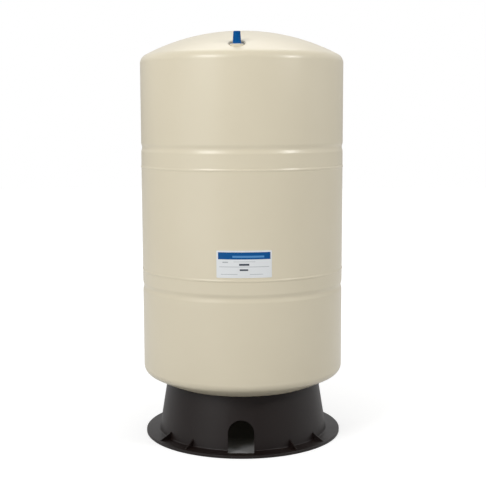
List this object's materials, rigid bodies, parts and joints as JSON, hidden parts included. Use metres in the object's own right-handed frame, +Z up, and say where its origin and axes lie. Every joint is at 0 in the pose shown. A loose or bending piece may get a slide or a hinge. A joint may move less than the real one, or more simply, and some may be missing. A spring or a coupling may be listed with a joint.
{
  "type": "expansion vessel",
  "caption": "Floor-standing expansion vessel: domed steel shell with rolled grooves, rubber diaphragm, capped air valve on the dome, bottom water connection and a ribbed plastic stand.",
  "frame": {"origin": "on the floor, on the vessel's axis", "axes": "+Z up along the vessel's axis; the stand's doorway, the label and the air valve face -Y"},
  "size_m": [0.3916, 0.3916, 0.783],
  "materials": {
    "cream_paint": "satin",
    "black_plastic": "fine moulded texture",
    "blue_plastic": "semi gloss",
    "label_film": "printed film",
    "white_plastic": "moulded",
    "rubber": "matte",
    "red_rubber": "matte",
    "zinc_steel": "zinc plated",
    "stainless": "turned",
    "brass": "turned"
  },
  "bodies": {
    "vessel": {"upper_shell": "cream_paint", "middle_shell": "cream_paint", "lower_shell": "cream_paint", "liner": "white_plastic", "clench_ring": "zinc_steel", "water_nipple": "stainless", "nipple_o_ring": "rubber", "nipple_washer": "zinc_steel", "nipple_nut": "zinc_steel", "valve_boss": "cream_paint", "valve_washer": "rubber", "valve_stem": "brass", "core_barrel": "brass", "core_gasket": "red_rubber", "core_spring": "zinc_steel", "stand": "black_plastic", "stand_studs": "zinc_steel", "stand_washers": "zinc_steel", "stand_nuts": "zinc_steel", "rating_label": "label_film"},
    "diaphragm": {"diaphragm": "rubber"},
    "valve_pin": {"core_pin": "zinc_steel", "core_cup": "brass"},
    "cap_seal": {"cap_seal": "rubber"},
    "valve_cap": {"valve_cap": "blue_plastic"}
  },
  "joints": [
    {"name": "diaphragm_travel", "type": "slide", "parent": "vessel", "child": "diaphragm", "axis": [0, 0, 1], "range_m": [0, 0.18], "deforming": ["diaphragm"]},
    {"name": "pin_press", "type": "slide", "parent": "vessel", "child": "valve_pin", "axis": [0, 0, -1], "range_m": [0, 0.0015], "stiffness_N_per_m": 1500, "springref_m": -0.001, "deforming": ["core_spring"]},
    {"name": "cap_rise", "type": "slide", "parent": "vessel", "child": "cap_seal", "axis": [0, 0, 1], "range_m": [0, 0.00556]},
    {"name": "cap_turn", "type": "hinge", "parent": "cap_seal", "child": "valve_cap", "pos_m": [-0.00812, -0.16029, 0.7585], "axis": [0, 0, 1], "range_deg": [0, 2520]}
  ],
  "couplings": [
    {"joint": "cap_rise", "follows": "cap_turn", "m_per_rad": 0.00012637}
  ]
}
